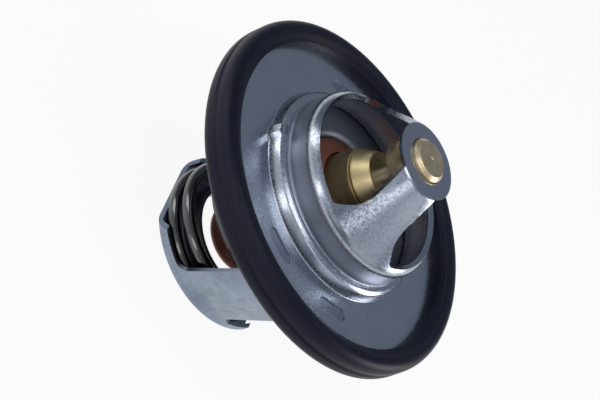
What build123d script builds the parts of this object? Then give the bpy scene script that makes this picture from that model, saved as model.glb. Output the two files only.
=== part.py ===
"""Engine coolant thermostat insert, in millimetres.

The origin lies on the axis, in the mid-plane of the seal ring. Z runs up the axis to the brass pin,
and X runs through the middle of one leg of the cage. The valve is closed.
"""

import os
from math import atan2, cos, degrees, hypot, radians, sin, tan

from build123d import *

# Clearances
running_gap = 0.05
press_gap = 0.02
seat_gap = 0.1
spring_seat_gap = 0.05
tip_gap = 0.5

# Seal ring
ring_radius = 33.5
ring_half_width = 3.3
ring_corner = 2.1
ring_wall = 2.0
lip_reach = 2.5
lip_height = 2.2
lip_slope_run = 1.6
groove_half_width = 0.5
groove_depth = 0.3

# Housing: flange plate, shoulder, dome and bridge from one drawn sheet
sheet = 1.0
dome_radius = 17.6
shoulder_ledge = 1.5
shoulder_lean = 0.7
shoulder_rise = 2.8
dome_wall_height = 5.0
bridge_rise = 12.05
cap_radius = 7.3
foot_bend = 0.3
shoulder_bend = 0.1
ledge_bend = 0.45
dome_bend = 1.8
cap_bend = 0.2
hole_bend = 0.5

# Windows and bridge legs
bridge_turn = 3.5
strap_half = 4.4
strap_inset = 4.7
flare_angle = 70.0
flare_corner = 3.0
sill_rise = 1.2
sill_corner = 1.0

# Bleed notch in the shoulder
notch_angle = -78.5
notch_half_width = 1.8
notch_height = 0.5
notch_run = 1.4
notch_toe = 0.9
notch_side = 0.9
channel_half_width = 0.5
channel_depth = 0.4

# Cage slots and tabs
slot_margin = 3.8
slot_width = 2.4
slot_length = 7.1
slot_angle = 19.5
slot_gap = 0.08
tab_recess = 0.25

# Bridge pin
pin_radius = 4.1
pin_rise = 1.05
pin_chamfer = 0.65
pin_collar_wall = 1.1
pin_collar_length = 4.1
pin_socket_roof = 1.4
pin_dimple_radius = 0.5

# Wax element
piston_radius = 2.2
piston_point = 1.6
guide_rise = 9.1
guide_cone_height = 3.2
guide_end_radius = 4.87
guide_cone_radius = 6.55
guide_body_radius = 6.75
guide_root_radius = 7.25
guide_groove = 0.3
guide_root_height = 1.4
head_radius = 11.1
head_drop = 6.2
cup_wall = 0.95
crimp_rise = 0.9
crimp_slope = 0.45
crimp_bend = 0.5
stem_radius = 6.7
stem_length = 21.2
boot_wall = 1.75
boot_flange = 1.2
boot_floor_wall = 1.7
wax_floor = 4.0
support_width = 1.35
support_height = 1.0

# Valve disc
valve_sheet = 1.2
valve_side_gap = 0.3
valve_bend = 0.3
valve_collar_length = 3.7

# Main spring
wire_radius = 1.15
spring_collar_gap = 0.45
coil_gap = 0.05
closed_turns = 0.5
closed_rise = 0.15
closing_turns = 1.0
active_turns = 2.15
spring_start_angle = -155.0

# Cage
cage_sheet = 0.8
cage_depth = 28.3
cage_spring_gap = 0.73
stem_gap = 2.8
base_collar_height = 4.9
base_wall_height = 3.1
base_bend = 0.3
flare_height = 17.3
flare_bend = 4.4
rim_height = 2.3
base_half_width = 12.6
base_long_side = 14.2
rim_lean = 1.4
leg_half_width = 6.3
leg_root_corner = 2.0
tee_height = 4.4
tee_margin = 0.6

# Heights that follow from the sizes above
plate_top = sheet / 2
plate_bottom = -sheet / 2
shoulder_top = plate_top + shoulder_rise
bend_height = shoulder_top + dome_wall_height
cap_top = bend_height + bridge_rise
valve_top = shoulder_top - sheet - seat_gap
valve_bottom = valve_top - valve_sheet
guide_top = valve_top + guide_rise
head_floor = valve_top - head_drop
stem_bottom = head_floor - stem_length
cage_bottom = plate_bottom - cage_depth
cage_floor = cage_bottom + cage_sheet

# Radii that follow from the sizes above
plate_radius = ring_radius - ring_wall
lip_radius = plate_radius - lip_reach
shoulder_radius = dome_radius + shoulder_ledge
foot_radius = shoulder_radius + shoulder_lean
slot_circle = foot_radius + slot_margin
bore_radius = piston_radius + running_gap
collar_radius = head_radius + press_gap
strap_reach = dome_radius - strap_inset
spring_radius = collar_radius + valve_sheet + spring_collar_gap + wire_radius
base_radius = spring_radius + wire_radius + cage_spring_gap + cage_sheet
leg_radius = slot_circle + slot_width / 4


def distance_to(edge, x, y, z):
    """Return how far the middle of an edge is from a point, or from its mirror images in X and Y."""
    middle = edge.center()
    return hypot(abs(middle.X) - x, abs(middle.Y) - y, middle.Z - z)


def beside(path, distance):
    """Return the corners of a run of straight lines after it moves to its left by a distance."""
    normals = []
    for (x0, z0), (x1, z1) in zip(path, path[1:]):
        length = hypot(x1 - x0, z1 - z0)
        normals.append(((z0 - z1) / length, (x1 - x0) / length))
    befores = [normals[0]] + normals
    afters = normals + [normals[-1]]
    moved = []
    for (x, z), (ax, az), (bx, bz) in zip(path, befores, afters):
        reach = distance / (1 + ax * bx + az * bz)
        moved.append((x + reach * (ax + bx), z + reach * (az + bz)))
    return moved


def bent_sheet(path, bends, thickness):
    """Return the corners and corner radii of a sheet that lies to the left of a path.

    Each bend is the radius inside its corner, and the other face of the sheet turns round it.
    """
    near_radii = []
    far_radii = []
    for before, corner, after, bend in zip(path, path[1:], path[2:], bends):
        turn = (corner[0] - before[0]) * (after[1] - corner[1])
        turn -= (corner[1] - before[1]) * (after[0] - corner[0])
        near_radii.append(bend + thickness if turn > 0 else bend)
        far_radii.append(bend if turn > 0 else bend + thickness)
    corners = list(path) + beside(path, thickness)[::-1]
    return corners, [0] + near_radii + [0, 0] + far_radii[::-1] + [0]


# Seal ring: rubber with lips on both faces of the flange plate and a shallow groove round its rim
lip_land = lip_radius + lip_slope_run
upper_ring = [
    (lip_radius, plate_top),
    (lip_radius, lip_height),
    (lip_land, ring_half_width),
    (ring_radius, ring_half_width),
    (ring_radius, groove_half_width),
]
lower_ring = [(r, -z) for r, z in reversed(upper_ring)]
ring_outline = (
    upper_ring
    + [(ring_radius - groove_depth, 0)]
    + lower_ring
    + [(plate_radius, plate_bottom), (plate_radius, plate_top)]
)
ring_radii = [0, 0.4, 0.8, ring_corner, 0.2, 0.2, 0.2, ring_corner, 0.8, 0.4, 0, 0, 0]
with BuildPart() as seal_ring:
    with BuildSketch(Plane.XZ):
        with BuildLine():
            FilletPolyline(ring_outline, radius=ring_radii, close=True)
        make_face()
    revolve(axis=Axis.Z)

# Housing: one sheet drawn to a dome, pierced by two windows that leave the bridge
pin_hole_radius = pin_radius + press_gap
housing_path = [
    (plate_radius, plate_top),
    (foot_radius, plate_top),
    (shoulder_radius, shoulder_top),
    (dome_radius, shoulder_top),
    (dome_radius, bend_height),
    (cap_radius, cap_top),
    (pin_hole_radius, cap_top),
]
housing_bends = [foot_bend, shoulder_bend, ledge_bend, dome_bend, cap_bend]
housing_outline, housing_radii = bent_sheet(housing_path, housing_bends, sheet)
housing_radii[len(housing_path) - 1] = hole_bend

bridge_length = hypot(bridge_rise, dome_radius - cap_radius)
across = (bridge_rise / bridge_length, (dome_radius - cap_radius) / bridge_length)
sill = (dome_radius - sill_rise * across[1] / across[0], bend_height + sill_rise)
sill_above = (sill[0] + 1.5 * sheet * across[0], sill[1] + 1.5 * sheet * across[1])
sill_below = (sill[0] - 3 * sheet * across[0], sill[1] - 3 * sheet * across[1])
cap_core = beside(housing_path, 2 * sheet)[5]
flare_reach = strap_reach + (dome_radius - strap_half) / tan(radians(flare_angle))
sill_angle = atan2(strap_half + flare_corner, strap_reach)
flare_at_sill = (sill[0] * cos(sill_angle), sill[0] * sin(sill_angle), sill[1])
window_plan = [
    (-flare_reach, dome_radius),
    (-strap_reach, strap_half),
    (strap_reach, strap_half),
    (flare_reach, dome_radius),
]
with BuildPart() as windows:
    with BuildSketch(Plane.XZ):
        with BuildLine():
            Polyline(
                sill_above,
                (sill_above[0], cap_top + sheet),
                (cap_radius, cap_top + sheet),
                (cap_radius, cap_top),
                cap_core,
                (cap_core[0], sill_below[1]),
                sill_below,
                close=True,
            )
        make_face()
    revolve(axis=Axis.Z)
    with BuildSketch():
        with BuildLine():
            FilletPolyline(window_plan, radius=[0, flare_corner, flare_corner, 0], close=True)
        make_face()
        mirror(about=Plane.XZ)
    extrude(amount=cap_top + 2 * sheet, mode=Mode.INTERSECT)
    sill_corners = windows.edges().sort_by(lambda edge: distance_to(edge, *flare_at_sill))
    fillet(sill_corners[:4], sill_corner)

notch_ridge = shoulder_top + notch_height
foot_core, shoulder_core, dome_core = beside(housing_path, sheet / 2)[1:4]
notch_foot = (foot_radius + notch_toe, foot_core[1])
notch_crest = (shoulder_radius + notch_height, notch_ridge)
notch_fall = (notch_crest[0] - dome_core[0]) * notch_height / notch_run
notch_end = (dome_core[0], notch_ridge - notch_fall)
with BuildPart() as notch:
    with BuildSketch(Plane.XZ):
        with BuildLine():
            Polyline(
                notch_foot,
                notch_crest,
                notch_end,
                dome_core,
                shoulder_core,
                foot_core,
                close=True,
            )
        make_face()
    extrude(amount=notch_half_width, both=True)
    for (x0, z0), (x1, z1) in ((notch_foot, notch_crest), (notch_crest, notch_end)):
        middle = ((x0 + x1) / 2, notch_half_width, (z0 + z1) / 2)
        sides = notch.edges().sort_by(lambda edge: distance_to(edge, *middle))
        chamfer(sides[:2], notch_side)

far_shoulder, far_dome = beside(housing_path, sheet)[2:4]
channel_outline = [
    (far_shoulder[0], far_shoulder[1] - sheet),
    (far_shoulder[0], far_shoulder[1] + channel_depth),
    (far_dome[0] - sheet, far_dome[1] + channel_depth),
    (far_dome[0] - sheet, far_dome[1] - sheet),
]
with BuildPart() as channel:
    with BuildSketch(Plane.XZ):
        with BuildLine():
            Polyline(channel_outline, close=True)
        make_face()
    extrude(amount=channel_half_width, both=True)

with BuildPart() as housing:
    with BuildSketch(Plane.XZ):
        with BuildLine():
            FilletPolyline(housing_outline, radius=housing_radii, close=True)
        make_face()
    revolve(axis=Axis.Z)
    add(windows.part.rotate(Axis.Z, bridge_turn), mode=Mode.SUBTRACT)
    with BuildSketch(Plane.XY.offset(plate_bottom)):
        for angle in (slot_angle, -slot_angle, 180 + slot_angle, 180 - slot_angle):
            half_angle = degrees((slot_length - slot_width) / 2 / slot_circle)
            SlotArc(CenterArc((0, 0), slot_circle, angle - half_angle, 2 * half_angle), slot_width)
    extrude(amount=sheet, mode=Mode.SUBTRACT)
    add(notch.part.rotate(Axis.Z, notch_angle))
    add(channel.part.rotate(Axis.Z, notch_angle), mode=Mode.SUBTRACT)

# Bridge pin: turned brass, with a collar under the cap and a socket for the piston
pin_top = cap_top + pin_rise
collar_top = cap_top - sheet
collar_bottom = collar_top - pin_collar_length
socket_top = pin_top - pin_socket_roof - pin_rise
pin_collar_radius = pin_radius + pin_collar_wall
with BuildPart() as bridge_pin:
    with BuildSketch(Plane.XZ):
        with BuildLine():
            Polyline(
                (0, socket_top),
                (bore_radius, socket_top),
                (bore_radius, collar_bottom),
                (pin_collar_radius, collar_bottom),
                (pin_collar_radius, collar_top),
                (pin_radius, collar_top),
                (pin_radius, pin_top - pin_chamfer),
                (pin_radius - pin_chamfer, pin_top),
                (pin_dimple_radius, pin_top),
                (0, pin_top - pin_dimple_radius / 2),
                close=True,
            )
        make_face()
    revolve(axis=Axis.Z)

# Wax cup: drawn copper stem and head, rolled over the guide's flange
crimp_lean = cup_wall * crimp_slope / hypot(1, crimp_slope)
roll_radius = guide_root_radius + press_gap + crimp_lean
roll_top = valve_top + crimp_rise
head_corner = roll_top - crimp_slope * (head_radius - roll_radius)
cup_path = [
    (roll_radius, roll_top),
    (head_radius, head_corner),
    (head_radius, head_floor),
    (stem_radius, head_floor),
    (stem_radius, stem_bottom),
    (0, stem_bottom),
]
cup_bends = [crimp_bend] * 4
cup_outline, cup_radii = bent_sheet([(r, z) for r, z in reversed(cup_path)], cup_bends, cup_wall)
with BuildPart() as wax_cup:
    with BuildSketch(Plane.XZ):
        with BuildLine():
            FilletPolyline(cup_outline, radius=cup_radii, close=True)
        make_face()
    revolve(axis=Axis.Z)

# Piston: a ground rod from the socket of the pin to the bottom of the boot
cup_floor = stem_bottom + cup_wall
boot_bottom = cup_floor + wax_floor
boot_bore_floor = boot_bottom + boot_floor_wall
piston_end = boot_bore_floor + tip_gap
with BuildPart() as piston:
    with BuildSketch(Plane.XZ):
        with BuildLine():
            Polyline(
                (0, socket_top - press_gap),
                (piston_radius, socket_top - press_gap),
                (piston_radius, piston_end + piston_point),
                (piston_radius / 3, piston_end),
                (0, piston_end),
                close=True,
            )
        make_face()
    revolve(axis=Axis.Z)

# Rubber boot: a closed sleeve in the wax, with a flange clamped under the guide
inner_floor = head_floor + cup_wall + press_gap
flange_radius = head_radius - cup_wall - press_gap
boot_top = inner_floor + boot_flange
boot_radius = bore_radius + boot_wall
with BuildPart() as rubber_boot:
    with BuildSketch(Plane.XZ):
        with BuildLine():
            Polyline(
                (0, boot_bore_floor),
                (bore_radius / 3, boot_bore_floor),
                (bore_radius, boot_bore_floor + piston_point),
                (bore_radius, boot_top),
                (flange_radius, boot_top),
                (flange_radius, inner_floor + crimp_bend),
                (flange_radius - crimp_bend, inner_floor),
                (boot_radius, inner_floor),
                (boot_radius, boot_bottom + piston_point),
                (boot_radius - piston_point, boot_bottom),
                (0, boot_bottom),
                close=True,
            )
        make_face()
    revolve(axis=Axis.Z)

# Wax charge: fills the stem round the boot
wax_radius = stem_radius - cup_wall - press_gap
wax_bottom = cup_floor + press_gap
with BuildPart() as wax_charge:
    with BuildSketch(Plane.XZ):
        with BuildLine():
            Polyline(
                (0, wax_bottom),
                (wax_radius - crimp_bend, wax_bottom),
                (wax_radius, wax_bottom + crimp_bend),
                (wax_radius, inner_floor - press_gap),
                (boot_radius + press_gap, inner_floor - press_gap),
                (boot_radius + press_gap, boot_bottom + piston_point),
                (boot_radius - piston_point, boot_bottom - press_gap),
                (0, boot_bottom - press_gap),
                close=True,
            )
        make_face()
    revolve(axis=Axis.Z)

# Support ring: hard plastic, in a counterbore between the boot and the guide
guide_bottom = boot_top + press_gap
support_radius = bore_radius + support_width
with BuildPart() as support_ring:
    with BuildSketch(Plane.XY.offset(guide_bottom)):
        Circle(support_radius)
        Circle(bore_radius, mode=Mode.SUBTRACT)
    extrude(amount=support_height - press_gap)

# Piston guide: turned brass, with a cone end, a tool groove and a flange under the rolled cup
crimp_wall = cup_wall * hypot(1, crimp_slope) + press_gap
flange_root = roll_top + crimp_slope * (roll_radius - guide_root_radius) - crimp_wall
flange_corner = flange_root - crimp_slope * (flange_radius - guide_root_radius)
cone_bottom = guide_top - guide_cone_height
root_top = roll_top + guide_root_height
guide_outline = [
    (bore_radius, guide_top),
    (guide_end_radius, guide_top),
    (guide_cone_radius, cone_bottom),
    (guide_cone_radius - guide_groove, cone_bottom - guide_groove / 2),
    (guide_body_radius, cone_bottom - guide_groove),
    (guide_root_radius, root_top),
    (guide_root_radius, flange_root),
    (flange_radius, flange_corner),
    (flange_radius, guide_bottom),
    (support_radius + press_gap, guide_bottom),
    (support_radius + press_gap, guide_bottom + support_height),
    (bore_radius, guide_bottom + support_height),
]
guide_radii = [0, 0.15, 0.2, 0, 0.1, 0, 0, crimp_bend + press_gap, 0, 0, 0, 0]
with BuildPart() as piston_guide:
    with BuildSketch(Plane.XZ):
        with BuildLine():
            FilletPolyline(guide_outline, radius=guide_radii, close=True)
        make_face()
    revolve(axis=Axis.Z)

# Valve disc: flat steel sheet with a collar drawn down round the head of the cup
valve_radius = far_shoulder[0] - valve_side_gap
valve_path = [
    (valve_radius, valve_top),
    (collar_radius, valve_top),
    (collar_radius, valve_top - valve_collar_length),
]
valve_outline, valve_radii = bent_sheet(valve_path, [valve_bend], valve_sheet)
with BuildPart() as valve_disc:
    with BuildSketch(Plane.XZ):
        with BuildLine():
            FilletPolyline(valve_outline, radius=valve_radii, close=True)
        make_face()
    revolve(axis=Axis.Z)

# Main spring: round wire whose ends lie flat and then open to the pitch of the active turns
spring_foot = cage_floor + spring_seat_gap + wire_radius
spring_head = valve_bottom - spring_seat_gap - wire_radius
closing_pitch = (2 * wire_radius + coil_gap - closed_rise) / (1 - closed_turns)
closing_rise = closing_pitch * closing_turns
active_rise = spring_head - spring_foot - 2 * (closed_rise + closing_rise)
coil_turns = [closed_turns, closing_turns, active_turns, closing_turns, closed_turns]
coil_rises = [closed_rise, closing_rise, active_rise, closing_rise, closed_rise]
with BuildPart() as main_spring:
    with BuildLine() as coil:
        angle = spring_start_angle
        height = spring_foot
        for turns, rise in zip(coil_turns, coil_rises):
            length_of_coil = Helix(rise / turns, rise, spring_radius, mode=Mode.PRIVATE)
            add(length_of_coil.rotate(Axis.Z, angle).moved(Location((0, 0, height))))
            angle += 360 * turns
            height += rise
    with BuildSketch(Plane(origin=coil.line @ 0, z_dir=coil.line % 0)):
        Circle(wire_radius)
    sweep(path=coil.wires()[0], is_frenet=True)

# Cage: one sheet with a cupped base, a collar round the stem's way out and two flared legs
stem_hole_radius = stem_radius + stem_gap
base_wall_top = cage_bottom + base_wall_height
cage_top = plate_bottom - press_gap
cage_path = [
    (stem_hole_radius, cage_bottom + base_collar_height),
    (stem_hole_radius, cage_bottom),
    (base_radius, cage_bottom),
    (base_radius, base_wall_top),
    (leg_radius, base_wall_top + flare_height),
    (leg_radius, cage_top),
]
cage_bends = [base_bend, base_bend, flare_bend, flare_bend]
cage_outline, cage_radii = bent_sheet(cage_path, cage_bends, cage_sheet)
collar_foot = stem_hole_radius + 1.5 * (base_bend + cage_sheet)
collar_path = cage_path[:2] + [(collar_foot, cage_bottom)]
collar_outline, collar_radii = bent_sheet(collar_path, [base_bend], cage_sheet)
slot_half_angle = degrees(slot_length / 2 / slot_circle)
tee_half_width = slot_circle * sin(radians(slot_angle + slot_half_angle)) + tee_margin
rim_top = cage_bottom + rim_height
tee_bottom = cage_top - tee_height
leg_outline = [
    (leg_half_width, rim_top),
    (leg_half_width, tee_bottom),
    (tee_half_width, tee_bottom),
    (tee_half_width, cage_top + cage_sheet),
]
blank_outline = (
    [(base_half_width, cage_bottom - cage_sheet), (base_half_width, rim_top)]
    + leg_outline
    + [(-y, z) for y, z in reversed(leg_outline)]
    + [(rim_lean - base_long_side, rim_top), (-base_long_side, cage_bottom)]
    + [(-base_long_side, cage_bottom - cage_sheet)]
)
leg_radii = [leg_root_corner, 0.6, 0.6, 0]
blank_radii = [0, 0] + leg_radii + leg_radii[::-1] + [0, 0, 0]
with BuildPart() as spring_cage:
    with BuildSketch(Plane.XZ):
        with BuildLine():
            FilletPolyline(cage_outline, radius=cage_radii, close=True)
        make_face()
    revolve(axis=Axis.Z)
    with BuildSketch(Plane.YZ):
        with BuildLine():
            FilletPolyline(blank_outline, radius=blank_radii, close=True)
        make_face()
    extrude(amount=2 * leg_radius, both=True, mode=Mode.INTERSECT)
    with BuildSketch(Plane.XZ):
        with BuildLine():
            FilletPolyline(collar_outline, radius=collar_radii, close=True)
        make_face()
    revolve(axis=Axis.Z)
    with BuildSketch(Plane.XY.offset(cage_top)):
        for angle in (slot_angle, -slot_angle, 180 + slot_angle, 180 - slot_angle):
            tab_length = slot_length - 2 * slot_gap
            tab_width = slot_width - 2 * slot_gap
            half_angle = degrees((tab_length - tab_width) / 2 / slot_circle)
            SlotArc(CenterArc((0, 0), slot_circle, angle - half_angle, 2 * half_angle), tab_width)
    extrude(amount=plate_top - tab_recess - cage_top)

# Files
pieces = {
    "seal_ring": seal_ring,
    "housing": housing,
    "bridge_pin": bridge_pin,
    "wax_cup": wax_cup,
    "piston": piston,
    "rubber_boot": rubber_boot,
    "wax_charge": wax_charge,
    "support_ring": support_ring,
    "piston_guide": piston_guide,
    "valve_disc": valve_disc,
    "main_spring": main_spring,
    "spring_cage": spring_cage,
}
os.makedirs("parts", exist_ok=True)
for label, piece in pieces.items():
    piece.part.label = label
    export_step(piece.part, f"parts/{label}.step")
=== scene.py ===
"""Studio picture of an engine thermostat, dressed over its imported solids.

The frame is the part's: the origin in the middle of the seal ring, +Z up the axis to the brass
pin, +X through the middle of one leg of the cage. Places in the studio are in metres. The spring,
the bands of height and the sizes of marks are in millimetres.
"""

import logging
import math
from dataclasses import dataclass, field
from enum import Enum

import bpy
import numpy as np
from mathutils import Matrix, Vector


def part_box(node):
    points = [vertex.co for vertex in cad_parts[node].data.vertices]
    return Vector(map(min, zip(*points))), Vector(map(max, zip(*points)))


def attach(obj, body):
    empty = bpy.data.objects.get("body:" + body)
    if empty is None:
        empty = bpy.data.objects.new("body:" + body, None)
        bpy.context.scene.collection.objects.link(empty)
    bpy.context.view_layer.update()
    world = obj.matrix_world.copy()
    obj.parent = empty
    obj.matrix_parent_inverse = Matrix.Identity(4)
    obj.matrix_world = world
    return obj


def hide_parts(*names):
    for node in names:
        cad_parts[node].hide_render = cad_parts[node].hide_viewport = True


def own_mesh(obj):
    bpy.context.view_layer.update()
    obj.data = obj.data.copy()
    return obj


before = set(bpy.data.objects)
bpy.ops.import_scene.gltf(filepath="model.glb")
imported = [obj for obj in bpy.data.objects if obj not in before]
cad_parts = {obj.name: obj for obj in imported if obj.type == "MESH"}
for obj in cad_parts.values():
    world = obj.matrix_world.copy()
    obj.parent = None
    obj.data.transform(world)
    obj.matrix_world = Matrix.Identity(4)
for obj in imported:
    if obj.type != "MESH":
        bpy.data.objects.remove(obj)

log = logging.getLogger("thermostat")

MM = 0.001
NOISE_LOW = 0.3
NOISE_HIGH = 0.7
TURNED_LENGTH = 0.4
DRAWN_SQUEEZE = 0.06
WHITE = (1.0, 1.0, 1.0, 1.0)
Colour = tuple[float, float, float]
Point = tuple[float, float, float]


class Lay(Enum):
    """How the fine marks of a surface lie."""

    TUMBLED = "tumbled"
    TURNED = "turned"
    DRAWN = "drawn"


@dataclass(frozen=True)
class Band:
    """A span of millimetres over which a mark fades."""

    start: float
    end: float


PLATE_FACE = Band(0.5, 1.2)
SHOULDER_FLANK = Band(0.7, 3.0)
# foot of the dome: duller, with painted shade in its crease
FOOT_START = Band(3.3, 3.45)
FOOT_END = Band(3.8, 5.0)
WALL_START = Band(3.8, 4.8)
WALL_END = Band(6.5, 8.0)
DRAWN_DOME = Band(6.5, 10.0)
# band of the painted shade on the dome's bend and the legs
LEG_SHADE = Band(9.0, 17.0)
LEG_TOP = Band(14.0, 18.0)
NEAR_SIDE = Band(-1.5, 2.0)
TAB_END = Band(-0.35, -0.15)


class ShaderGraph:
    """A new material and short ways to add and join its nodes."""

    def __init__(self, name: str) -> None:
        """Start a material with a principled shader.

        Args:
            name: The material's name.
        """
        self.material = bpy.data.materials.new(name)
        self.material.use_nodes = True
        self.nodes = self.material.node_tree.nodes
        self.links = self.material.node_tree.links
        self.shader = self.nodes["Principled BSDF"]
        self.output = self.nodes["Material Output"]

    def add(self, kind: str, **values: object) -> bpy.types.Node:
        """Add a node.

        Args:
            kind: The node's type without its prefix.
            values: Properties of the node by name.

        Returns:
            The new node.
        """
        node = self.nodes.new("ShaderNode" + kind)
        for name, value in values.items():
            setattr(node, name, value)
        return node

    def join(self, source: bpy.types.NodeSocket, target: bpy.types.NodeSocket) -> None:
        """Link an output to an input."""
        self.links.new(source, target)

    def math(self, operation: str, *values: object) -> bpy.types.NodeSocket:
        """Add a math node.

        Args:
            operation: The node's operation.
            values: Its inputs, each a socket or a number.

        Returns:
            The output socket.
        """
        node = self.add("Math", operation=operation)
        for socket, value in zip(node.inputs, values):
            if isinstance(value, bpy.types.NodeSocket):
                self.join(value, socket)
            else:
                socket.default_value = value
        return node.outputs[0]

    def product(self, first: object, *others: object) -> bpy.types.NodeSocket:
        """Multiply sockets and numbers.

        Args:
            first: A socket or a number.
            others: What it is multiplied by, in turn.

        Returns:
            The output socket.
        """
        for other in others:
            first = self.math("MULTIPLY", first, other)
        return first

    def total(self, first: object, *others: object) -> bpy.types.NodeSocket:
        """Add sockets and numbers.

        Args:
            first: A socket or a number.
            others: What is added to it, in turn.

        Returns:
            The output socket.
        """
        for other in others:
            first = self.math("ADD", first, other)
        return first

    def spread(self, value: bpy.types.NodeSocket, low: float, high: float,
               to_low: float, to_high: float) -> bpy.types.NodeSocket:
        """Map a value from one span to another, held at both ends.

        Args:
            value: The socket to map.
            low: Start of the span read.
            high: End of the span read.
            to_low: Value at the start.
            to_high: Value at the end.

        Returns:
            The output socket.
        """
        node = self.add("MapRange")
        self.join(value, node.inputs["Value"])
        for name, number in (("From Min", low), ("From Max", high),
                             ("To Min", to_low), ("To Max", to_high)):
            node.inputs[name].default_value = number
        return node.outputs["Result"]

    def fade(self, value: bpy.types.NodeSocket, band: Band,
             to_low: float = 0.0, to_high: float = 1.0) -> bpy.types.NodeSocket:
        """Map a length over a band.

        Args:
            value: The length's socket, in metres.
            band: The span read, in millimetres.
            to_low: Value at its start.
            to_high: Value at its end.

        Returns:
            The output socket.
        """
        return self.spread(value, band.start * MM, band.end * MM, to_low, to_high)

    def blend(self, share: bpy.types.NodeSocket, first: object,
              second: object) -> bpy.types.NodeSocket:
        """Mix two colours.

        Args:
            share: How much of the second colour shows.
            first: Colour or socket at no share.
            second: Colour or socket at full share.

        Returns:
            The output socket.
        """
        node = self.add("Mix", data_type="RGBA")
        self.join(share, node.inputs["Factor"])
        for socket, value in ((node.inputs[6], first), (node.inputs[7], second)):
            if isinstance(value, bpy.types.NodeSocket):
                self.join(value, socket)
            else:
                socket.default_value = (*value, 1.0)
        return node.outputs[2]

    def place(self) -> bpy.types.NodeSocket:
        """Return the object coordinates."""
        return self.add("TexCoord").outputs["Object"]

    def parts(self, vector: bpy.types.NodeSocket) -> tuple[bpy.types.NodeSocket, ...]:
        """Return the three parts of a vector."""
        node = self.add("SeparateXYZ")
        self.join(vector, node.inputs[0])
        return tuple(node.outputs)

    def marks(self, lay: Lay) -> bpy.types.NodeSocket:
        """Return coordinates whose noise has the given lay.

        Args:
            lay: How the marks lie.

        Returns:
            A vector socket.
        """
        place = self.place()
        if lay is Lay.TUMBLED:
            return place
        x, y, z = self.parts(place)
        radius = self.math("SQRT", self.total(self.product(x, x), self.product(y, y)))
        joined = self.add("CombineXYZ")
        if lay is Lay.TURNED:
            angle = self.math("ARCTAN2", y, x)
            self.join(radius, joined.inputs[0])
            self.join(z, joined.inputs[1])
            self.join(self.product(angle, TURNED_LENGTH * MM), joined.inputs[2])
        else:
            self.join(x, joined.inputs[0])
            self.join(y, joined.inputs[1])
            self.join(self.product(z, DRAWN_SQUEEZE), joined.inputs[2])
        return joined.outputs[0]

    def noise(self, vector: bpy.types.NodeSocket, size: float, detail: float = 3.0,
              rough: float = 0.55) -> bpy.types.NodeSocket:
        """Add noise.

        Args:
            vector: Its coordinates.
            size: Size of its largest features in millimetres.
            detail: Octaves.
            rough: Strength of each finer octave.

        Returns:
            The factor socket.
        """
        node = self.add("TexNoise")
        self.join(vector, node.inputs["Vector"])
        node.inputs["Scale"].default_value = 1 / (size * MM)
        node.inputs["Detail"].default_value = detail
        node.inputs["Roughness"].default_value = rough
        return node.outputs["Fac"]

    def relief(self, height: bpy.types.NodeSocket, depth: float,
               under: bpy.types.NodeSocket | None = None) -> bpy.types.NodeSocket:
        """Bump the surface and give the shader the bumped normal.

        Args:
            height: Height from 0 to 1.
            depth: Depth of the relief in millimetres.
            under: Normal of the relief that this one lies on.

        Returns:
            The normal socket.
        """
        node = self.add("Bump")
        node.inputs["Strength"].default_value = 1.0
        node.inputs["Distance"].default_value = depth * MM
        self.join(height, node.inputs["Height"])
        if under is not None:
            self.join(under, node.inputs["Normal"])
        self.join(node.outputs["Normal"], self.shader.inputs["Normal"])
        return node.outputs["Normal"]


@dataclass(frozen=True)
class MetalFinish:
    """A bare metal surface with cloudy patches, fine marks and painted shade below a height.

    The painted shade's height lies far under the part where a finish has none.
    """

    name: str
    dark: Colour
    light: Colour
    smooth: float
    dull: float
    patch: float
    grain: float
    depth: float
    lay: Lay = Lay.TUMBLED
    # colour, height and edge of the painted shade below a height
    under_shade: Colour = (0.1, 0.1, 0.1)
    shade_below: float = -100.0
    shade_edge: float = 0.5

    def build(self) -> bpy.types.Material:
        """Return the finish as a material."""
        graph = ShaderGraph(self.name)
        vector = graph.marks(self.lay)
        patches = graph.noise(graph.place(), self.patch)
        marks = graph.noise(vector, self.grain, 4.0, 0.6)
        cloud = graph.spread(patches, 0.35, 0.65, 0.0, 1.0)
        both = graph.total(graph.product(cloud, 0.6), graph.product(marks, 0.4))
        tone = graph.blend(both, self.dark, self.light)
        height = graph.parts(graph.place())[2]
        # painted shade: the colour darkens below the given height
        edge = Band(self.shade_below - self.shade_edge, self.shade_below)
        shaded = graph.fade(height, edge, 1.0, 0.0)
        shaded = graph.product(shaded, graph.spread(patches, 0.40, 0.62, 1.0, 0.78))
        graph.join(graph.blend(shaded, tone, self.under_shade), graph.shader.inputs["Base Color"])
        rough = graph.spread(marks, NOISE_LOW, NOISE_HIGH, self.smooth, self.dull)
        graph.join(rough, graph.shader.inputs["Roughness"])
        graph.shader.inputs["Metallic"].default_value = 1.0
        graph.relief(marks, self.depth)
        return graph.material


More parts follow.
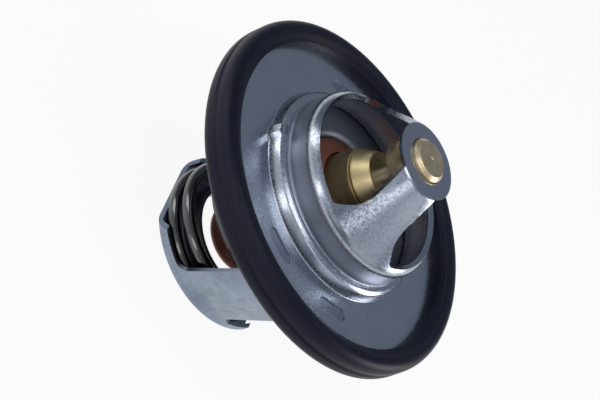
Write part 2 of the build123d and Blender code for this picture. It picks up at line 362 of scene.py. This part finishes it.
@dataclass(frozen=True)
class DrawnSheetFinish:
    """Steel sheet with rings on the plate, streaks on the dome's wall, peel and pits on the drawn dome,
    and painted shade in the dome's foot and low on the legs.
    """

    name: str
    dark: Colour
    light: Colour
    # pit colour: real pits of the grain, and also the painted shade at the dome's foot and on the legs
    pit_and_shade: Colour
    smooth: float
    dull: float
    peel: float
    streak: float
    rounding: float
    cloud_size: float = 9.0
    peel_size: float = 0.38
    speck_size: float = 0.6
    line_size: float = 0.5
    foot_shade: float = 0.8
    foot_dull: float = 0.22
    drawn_shine: float = 0.07
    wall_dull: float = 0.12
    ring: float = 0.08
    depth: float = 0.02

    def build(self) -> bpy.types.Material:
        """Return the finish as a material."""
        graph = ShaderGraph(self.name)
        place = graph.place()
        across, height = graph.parts(place)[1:]
        drawn = graph.fade(height, DRAWN_DOME)
        plate = graph.fade(height, PLATE_FACE, 1.0, 0.0)
        foot = graph.product(graph.fade(height, FOOT_START), graph.fade(height, FOOT_END, 1.0, 0.0))
        wall = graph.product(graph.fade(height, WALL_START), graph.fade(height, WALL_END, 1.0, 0.0))
        low = graph.product(graph.fade(height, LEG_TOP, 1.0, 0.25),
                            graph.fade(across, NEAR_SIDE, 1.0, 0.35))
        cloud = graph.noise(place, self.cloud_size, 2.0)
        peel = graph.noise(place, self.peel_size, 3.0, 0.65)
        speck = graph.spread(graph.noise(place, self.speck_size, 5.0, 0.8), 0.46, 0.60, 0.0, 1.0)
        streaks = graph.noise(graph.marks(Lay.DRAWN), self.line_size, 3.0)
        rings = graph.noise(graph.marks(Lay.TURNED), self.line_size, 3.0)
        tone = graph.blend(graph.spread(cloud, NOISE_LOW, NOISE_HIGH, 0.0, 1.0), self.dark, self.light)
        # dark pits of the grain on the drawn dome and the legs
        pits_and_shade = graph.product(speck, low, graph.spread(drawn, 0.0, 1.0, 0.06, 0.7))
        # painted shade in the crease at the dome's foot
        pits_and_shade = graph.math("MAXIMUM", pits_and_shade, graph.product(foot, self.foot_shade))
        # painted shade: darker on the dome's bend and the lower legs, fading out towards the cap
        pits_and_shade = graph.total(pits_and_shade, graph.product(graph.fade(height, LEG_SHADE, 0.40, 0.0), drawn))
        graph.join(graph.blend(pits_and_shade, tone, self.pit_and_shade), graph.shader.inputs["Base Color"])
        worn = graph.total(graph.product(peel, 0.6), graph.product(speck, 0.4))
        rough = graph.total(graph.spread(worn, 0.2, NOISE_HIGH, self.smooth, self.dull),
                            graph.product(foot, self.foot_dull))
        rough = graph.math("SUBTRACT", rough, graph.product(drawn, low, self.drawn_shine))
        rough = graph.total(rough, graph.product(wall, self.wall_dull))
        graph.join(rough, graph.shader.inputs["Roughness"])
        graph.shader.inputs["Metallic"].default_value = 1.0
        relief = graph.total(
            graph.product(peel, drawn, low, self.peel),
            graph.product(streaks, wall, self.streak),
            graph.product(rings, plate, self.ring),
        )
        rise = graph.fade(height, SHOULDER_FLANK)
        crown = graph.product(rise, graph.total(rise, 0.7))
        rounding = graph.relief(graph.math("SUBTRACT", 1.0, crown), self.rounding)
        graph.relief(relief, self.depth, rounding)
        return graph.material


@dataclass(frozen=True)
class CageFinish:
    """Cage steel with streaks, scratches and smudges, and lines on the ends of the tabs."""

    name: str
    dark: Colour
    light: Colour
    tab: Colour
    streak: Colour
    smooth: float
    dull: float
    cloud_size: float = 6.0
    grain_size: float = 0.4
    line_size: float = 0.35
    scratch_size: float = 0.9
    smudge_size: float = 3.0
    tab_stretch: float = 0.15
    depth: float = 0.03

    def build(self) -> bpy.types.Material:
        """Return the finish as a material."""
        graph = ShaderGraph(self.name)
        place = graph.place()
        x, y, z = graph.parts(place)
        end = graph.fade(z, TAB_END)
        cloud = graph.spread(graph.noise(place, self.cloud_size, 2.0), NOISE_LOW, NOISE_HIGH, 0.0, 1.0)
        grain = graph.noise(place, self.grain_size, 3.0)
        drawn = graph.noise(graph.marks(Lay.DRAWN), self.line_size, 3.0)
        scratch = graph.noise(graph.marks(Lay.TURNED), self.scratch_size, 2.0)
        scratch = graph.spread(scratch, 0.60, 0.64, 0.0, 1.0)
        across = graph.add("CombineXYZ")
        graph.join(graph.product(x, self.tab_stretch), across.inputs[0])
        graph.join(y, across.inputs[1])
        lines = graph.noise(across.outputs[0], self.line_size, 2.0)
        tone = graph.blend(cloud, self.dark, self.light)
        smudge = graph.noise(graph.marks(Lay.DRAWN), self.smudge_size, 4.0)
        smudge = graph.spread(smudge, 0.56, 0.66, 0.0, 0.4)
        streak = graph.math("MAXIMUM", graph.spread(drawn, 0.45, 0.70, 0.0, 0.3), smudge)
        streak = graph.math("MAXIMUM", graph.product(scratch, 0.25), streak)
        tone = graph.blend(streak, tone, self.streak)
        # the tab ends take the lighter, lit copy of the steel; the rest keeps the darker, shaded copy
        graph.join(graph.blend(end, tone, self.tab), graph.shader.inputs["Base Color"])
        worn = graph.total(graph.product(grain, 0.5), graph.product(drawn, 0.5))
        rough = graph.spread(worn, NOISE_LOW, NOISE_HIGH, self.smooth, self.dull)
        graph.join(rough, graph.shader.inputs["Roughness"])
        graph.shader.inputs["Metallic"].default_value = 1.0
        relief = graph.total(graph.product(worn, 0.25), graph.product(lines, end))
        graph.relief(relief, self.depth)
        return graph.material


@dataclass(frozen=True)
class MouldedFinish:
    """Rubber, wax or plastic with faint streaks round the axis."""

    name: str
    base: Colour
    worn: Colour
    smooth: float
    dull: float
    depth: float
    streak_size: float = 1.2
    grain_size: float = 0.35
    scuff_size: float = 0.45
    sheen: float = 0.18

    def build(self) -> bpy.types.Material:
        """Return the finish as a material."""
        graph = ShaderGraph(self.name)
        streaks = graph.noise(graph.marks(Lay.TURNED), self.streak_size, 4.0, 0.6)
        grain = graph.noise(graph.place(), self.grain_size, 3.0)
        scuff = graph.noise(graph.marks(Lay.TURNED), self.scuff_size, 2.0)
        scuff = graph.spread(scuff, 0.66, 0.72, 0.0, 1.0)
        share = graph.math("MAXIMUM", graph.spread(streaks, 0.4, 0.75, 0.0, 0.4), scuff)
        graph.join(graph.blend(share, self.base, self.worn), graph.shader.inputs["Base Color"])
        rough = graph.spread(streaks, NOISE_LOW, NOISE_HIGH, self.smooth, self.dull)
        graph.join(rough, graph.shader.inputs["Roughness"])
        graph.shader.inputs["Specular IOR Level"].default_value = self.sheen
        both = graph.total(graph.product(streaks, 0.7), graph.product(grain, 0.3))
        graph.relief(both, self.depth)
        return graph.material


Finish = MetalFinish | DrawnSheetFinish | CageFinish | MouldedFinish

SHEET_STEEL = DrawnSheetFinish(
    "sheet_steel", dark=(0.46, 0.495, 0.57), light=(0.52, 0.555, 0.63), pit_and_shade=(0.20, 0.22, 0.27),
    smooth=0.20, dull=0.33, peel=1.5, streak=0.35, rounding=0.27
)
# painted shade: the cage's tones keep the housing's steel darker for the dim surroundings it mirrors;
# the tab ends keep a lighter copy, lit like the plate
SHADED_CAGE_STEEL = CageFinish(
    "cage_steel_shaded", dark=(0.21, 0.255, 0.335), light=(0.31, 0.36, 0.445), tab=(0.34, 0.37, 0.44),
    streak=(0.13, 0.15, 0.19), smooth=0.26, dull=0.40
)
# painted shade: the disc's steel is kept darker than the housing's, for the shade inside the dome
SHADED_VALVE_STEEL = MetalFinish(
    "valve_steel_shaded", dark=(0.20, 0.22, 0.26), light=(0.28, 0.30, 0.34),
    smooth=0.42, dull=0.55, patch=5.0, grain=0.4, depth=0.010
)
# painted shade: the wire's steel is kept dark, standing in for the dark surroundings it mirrors inside
# the cage
SHADED_SPRING_WIRE = MetalFinish(
    "spring_wire_shaded", dark=(0.085, 0.088, 0.086), light=(0.13, 0.133, 0.132),
    smooth=0.11, dull=0.18, patch=4.0, grain=0.3, depth=0.004
)
GROUND_ROD = MetalFinish(
    "ground_rod", dark=(0.36, 0.35, 0.33), light=(0.46, 0.45, 0.43),
    smooth=0.28, dull=0.40, patch=4.0, grain=0.2, depth=0.004, lay=Lay.TURNED
)
TURNED_BRASS = MetalFinish(
    "turned_brass", dark=(0.44, 0.35, 0.17), light=(0.70, 0.58, 0.33),
    smooth=0.32, dull=0.50, patch=5.0, grain=0.22, depth=0.022, lay=Lay.TURNED
)
# painted shade: the pin is darker below the top of the cap, which stands over it
DULLED_BRASS = MetalFinish(
    "dulled_brass", dark=(0.66, 0.53, 0.33), light=(0.96, 0.79, 0.53),
    smooth=0.28, dull=0.48, patch=3.0, grain=0.3, depth=0.022, lay=Lay.TURNED,
    under_shade=(0.15, 0.125, 0.07), shade_below=19.0
)
# painted shade: the cup is darker below the valve plate, where it lies under the housing
DULL_COPPER = MetalFinish(
    "dull_copper", dark=(0.46, 0.17, 0.10), light=(0.60, 0.24, 0.15),
    smooth=0.32, dull=0.48, patch=4.0, grain=0.4, depth=0.010, lay=Lay.TURNED,
    under_shade=(0.10, 0.036, 0.026), shade_below=-2.0
)
SEAL_RUBBER = MouldedFinish(
    "seal_rubber", base=(0.008, 0.009, 0.020), worn=(0.030, 0.033, 0.055),
    smooth=0.34, dull=0.50, depth=0.05, sheen=0.15
)
BOOT_RUBBER = MouldedFinish(
    "boot_rubber", base=(0.012, 0.012, 0.013), worn=(0.020, 0.020, 0.022),
    smooth=0.45, dull=0.60, depth=0.03
)
FILLED_WAX = MouldedFinish(
    "filled_wax", base=(0.40, 0.22, 0.14), worn=(0.52, 0.30, 0.20), smooth=0.50, dull=0.65, depth=0.02
)
HARD_PLASTIC = MouldedFinish(
    "hard_plastic", base=(0.70, 0.69, 0.64), worn=(0.80, 0.79, 0.75), smooth=0.35, dull=0.45, depth=0.01
)


@dataclass(frozen=True)
class Softbox:
    """A soft rectangular lamp that points at the middle of the part."""

    name: str
    place: Point
    width: float
    height: float
    power: float


@dataclass
class Studio:
    """The camera at the photograph's angle, a pale floor, the lamps and the world."""

    eye: Point = (0.2960, -0.1657, 0.2159)
    right: Point = (-0.2641, 0.5759, 0.7736)
    up: Point = (-0.6289, -0.7110, 0.3146)
    back: Point = (0.7312, -0.4035, 0.5500)
    lens: float = 133.8
    sensor_width: float = 36.0
    nearest: float = 0.01
    farthest: float = 20.0
    floor_size: float = 6.0
    floor_colour: Colour = (0.86, 0.86, 0.86)
    floor_glow: float = 0.92
    world_colour: Colour = (0.56, 0.63, 0.78)
    world_strength: float = 0.32
    lamps: tuple[Softbox, ...] = (
        Softbox("lamp_side", (-0.088, -0.327, 0.100), 0.11, 0.24, 0.22),
        Softbox("lamp_low", (0.240, -0.240, 0.085), 0.08, 0.20, 0.12),
        Softbox("lamp_strip", (0.195, -0.366, 0.066), 0.75, 0.11, 0.12),
        Softbox("lamp_broad", (0.288, -0.320, 0.291), 1.10, 0.25, 0.34),
        Softbox("lamp_front", (0.219, 0.051, 0.241), 0.08, 0.08, 0.032),
        Softbox("lamp_above", (0.081, -0.057, 0.346), 0.20, 0.20, 0.26),
        Softbox("lamp_fill", (0.240, 0.250, 0.160), 0.30, 0.24, 0.11),
        Softbox("lamp_right", (-0.027, 0.309, 0.113), 0.12, 0.20, 0.34),
    )

    def view_matrix(self) -> Matrix:
        """Return the camera's turn as a matrix."""
        rows = Matrix((self.right, self.up, self.back))
        return rows.transposed()

    def set_camera(self) -> None:
        """Make the camera and look with it."""
        data = bpy.data.cameras.new("camera")
        data.lens = self.lens
        data.sensor_width = self.sensor_width
        data.clip_start = self.nearest
        data.clip_end = self.farthest
        camera = bpy.data.objects.new("camera", data)
        bpy.context.collection.objects.link(camera)
        camera.matrix_world = Matrix.Translation(self.eye) @ self.view_matrix().to_4x4()
        bpy.context.scene.camera = camera
        bpy.context.scene.view_settings.view_transform = "Standard"

    def set_floor(self, level: float) -> None:
        """Lay the floor, which shows near white to the camera and in mirrors.

        Args:
            level: Height of the floor.
        """
        half = self.floor_size / 2
        mesh = bpy.data.meshes.new("floor")
        corners = [(x * half, y * half, level) for x, y in ((-1, -1), (1, -1), (1, 1), (-1, 1))]
        mesh.from_pydata(corners, [], [(0, 1, 2, 3)])
        floor = bpy.data.objects.new("floor", mesh)
        bpy.context.collection.objects.link(floor)
        graph = ShaderGraph("pale_floor")
        matt = graph.add("BsdfDiffuse")
        matt.inputs["Color"].default_value = (*self.floor_colour, 1.0)
        glow = graph.add("Emission")
        glow.inputs["Color"].default_value = WHITE
        glow.inputs["Strength"].default_value = 1.0
        rays = graph.add("LightPath").outputs
        seen = graph.math("MAXIMUM", rays["Is Camera Ray"], rays["Is Glossy Ray"])
        seen = graph.math("MAXIMUM", seen, rays["Is Transmission Ray"])
        mix = graph.add("MixShader")
        graph.join(graph.product(seen, self.floor_glow), mix.inputs[0])
        graph.join(matt.outputs[0], mix.inputs[1])
        graph.join(glow.outputs[0], mix.inputs[2])
        graph.join(mix.outputs[0], graph.output.inputs["Surface"])
        mesh.materials.append(graph.material)

    def set_world(self) -> None:
        """Give the world its plain light."""
        world = bpy.data.worlds.new("studio_air")
        world.use_nodes = True
        background = world.node_tree.nodes["Background"]
        background.inputs["Color"].default_value = (*self.world_colour, 1.0)
        background.inputs["Strength"].default_value = self.world_strength
        bpy.context.scene.world = world

    def set_lamps(self) -> None:
        """Hang the lamps, each aimed at the part."""
        for lamp in self.lamps:
            data = bpy.data.lights.new(lamp.name, "AREA")
            data.shape = "RECTANGLE"
            data.size = lamp.width
            data.size_y = lamp.height
            data.energy = lamp.power
            light = bpy.data.objects.new(lamp.name, data)
            bpy.context.collection.objects.link(light)
            light.location = lamp.place
            light.rotation_euler = (-light.location).to_track_quat("-Z", "Y").to_euler()

    def build(self, floor_level: float) -> None:
        """Set up the whole studio.

        Args:
            floor_level: Height of the floor.
        """
        self.set_camera()
        self.set_floor(floor_level)
        self.set_world()
        self.set_lamps()
        log.info("studio with %d lamps", len(self.lamps))


def surface_object(name: str, points: np.ndarray, quads: np.ndarray,
                   finish: bpy.types.Material) -> bpy.types.Object:
    """Make a smooth mesh object.

    Args:
        name: The object's name.
        points: Its points, one row each, in metres.
        quads: Rows of four point numbers.
        finish: Its material.

    Returns:
        The object.
    """
    mesh = bpy.data.meshes.new(name)
    mesh.vertices.add(len(points))
    mesh.vertices.foreach_set("co", points.astype(np.float32).ravel())
    mesh.loops.add(quads.size)
    mesh.loops.foreach_set("vertex_index", quads.astype(np.int32).ravel())
    mesh.polygons.add(len(quads))
    mesh.polygons.foreach_set("loop_start", np.arange(0, quads.size, 4, dtype=np.int32))
    mesh.update(calc_edges=True)
    mesh.validate()
    mesh.polygons.foreach_set("use_smooth", np.ones(len(quads), dtype=bool))
    mesh.materials.append(finish)
    item = bpy.data.objects.new(name, mesh)
    bpy.context.collection.objects.link(item)
    return item


def tube_quads(rings: int, sides: int) -> np.ndarray:
    """Return the quads of a tube, open at both ends.

    Args:
        rings: Number of rings of points.
        sides: Number of points in a ring.

    Returns:
        Rows of four point numbers.
    """
    i, j = np.meshgrid(np.arange(rings - 1), np.arange(sides), indexing="ij")
    next_j = (j + 1) % sides
    corners = (i * sides + j, i * sides + next_j, (i + 1) * sides + next_j, (i + 1) * sides + j)
    return np.stack([corner.ravel() for corner in corners], axis=1)


@dataclass
class MainSpring:
    """The coil spring: round wire with flat ends that open to the pitch of the active turns."""

    wire_radius: float = 1.15
    coil_radius: float = 13.92
    foot: float = -26.80
    head: float = -0.20
    closed_turns: float = 0.5
    closed_rise: float = 0.15
    closing_turns: float = 1.0
    closing_rise: float = 4.4
    active_turns: float = 2.15
    start_angle: float = -155.0
    travel: float = 9.0
    end_radius: float = 0.001
    end_bevel: float = 0.08
    steps: int = 900
    sides: int = 32

    def centre_line(self) -> np.ndarray:
        """Return the points of the wire's centre line in millimetres."""
        ends = [self.closed_turns, self.closing_turns]
        rises = [self.closed_rise, self.closing_rise]
        active = self.head - self.foot - 2 * sum(rises)
        spans = np.cumsum([0, *ends, self.active_turns, *reversed(ends)])
        heights = self.foot + np.cumsum([0, *rises, active, *reversed(rises)])
        turns = np.linspace(0, spans[-1], self.steps)
        angles = 2 * np.pi * turns + math.radians(self.start_angle)
        across, along = self.coil_radius * np.cos(angles), self.coil_radius * np.sin(angles)
        return np.stack([across, along, np.interp(turns, spans, heights)], axis=1)

    def build(self) -> None:
        """Make the spring wire in place of the CAD spring."""
        line = self.centre_line()
        along = np.gradient(line, axis=0)
        along /= np.linalg.norm(along, axis=1, keepdims=True)
        outward = line * np.array([1.0, 1.0, 0.0])
        outward /= np.linalg.norm(outward, axis=1, keepdims=True)
        above = np.cross(along, outward)
        above /= np.linalg.norm(above, axis=1, keepdims=True)
        outward = np.cross(above, along)
        turn = np.linspace(0, 2 * np.pi, self.sides, endpoint=False)
        ring = (np.cos(turn)[None, :, None] * outward[:, None, :]
                + np.sin(turn)[None, :, None] * above[:, None, :])
        radius = np.full(self.steps, self.wire_radius)
        radius[0] = radius[-1] = self.end_radius
        radius[1] = radius[-2] = self.wire_radius - self.end_bevel
        middle = line.copy()
        middle[0] = line[1]
        middle[-1] = line[-2]
        points = (middle[:, None, :] + radius[:, None, None] * ring).reshape(-1, 3) * MM
        quads = tube_quads(self.steps, self.sides)
        spring = surface_object("main_spring_wire", points, quads, SHADED_SPRING_WIRE.build())
        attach(spring, "frame")
        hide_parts("main_spring")
        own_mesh(spring)
        log.info("main spring with %d points", len(points))


@dataclass
class PlainNodes:
    """The CAD nodes that keep their shape and get a finish."""

    finishes: dict[str, Finish] = field(default_factory=lambda: {
        "seal_ring": SEAL_RUBBER,
        "housing": SHEET_STEEL,
        "bridge_pin": DULLED_BRASS,
        "wax_cup": DULL_COPPER,
        "piston": GROUND_ROD,
        "rubber_boot": BOOT_RUBBER,
        "wax_charge": FILLED_WAX,
        "support_ring": HARD_PLASTIC,
        "piston_guide": TURNED_BRASS,
        "valve_disc": SHADED_VALVE_STEEL,
        "spring_cage": SHADED_CAGE_STEEL,
    })

    def build(self) -> None:
        """Give every node its finish."""
        made: dict[str, bpy.types.Material] = {}
        for node, finish in self.finishes.items():
            if finish.name not in made:
                made[finish.name] = finish.build()
            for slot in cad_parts[node].material_slots:
                slot.material = made[finish.name]
            log.info("%s in %s", node, finish.name)


def main() -> None:
    """Dress the part and set up the studio."""
    logging.basicConfig(level=logging.INFO, format="%(message)s")
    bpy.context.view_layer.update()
    floor_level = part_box("spring_cage")[0].z
    Studio().build(floor_level)
    PlainNodes().build()
    MainSpring().build()


if __name__ == "__main__":
    main()
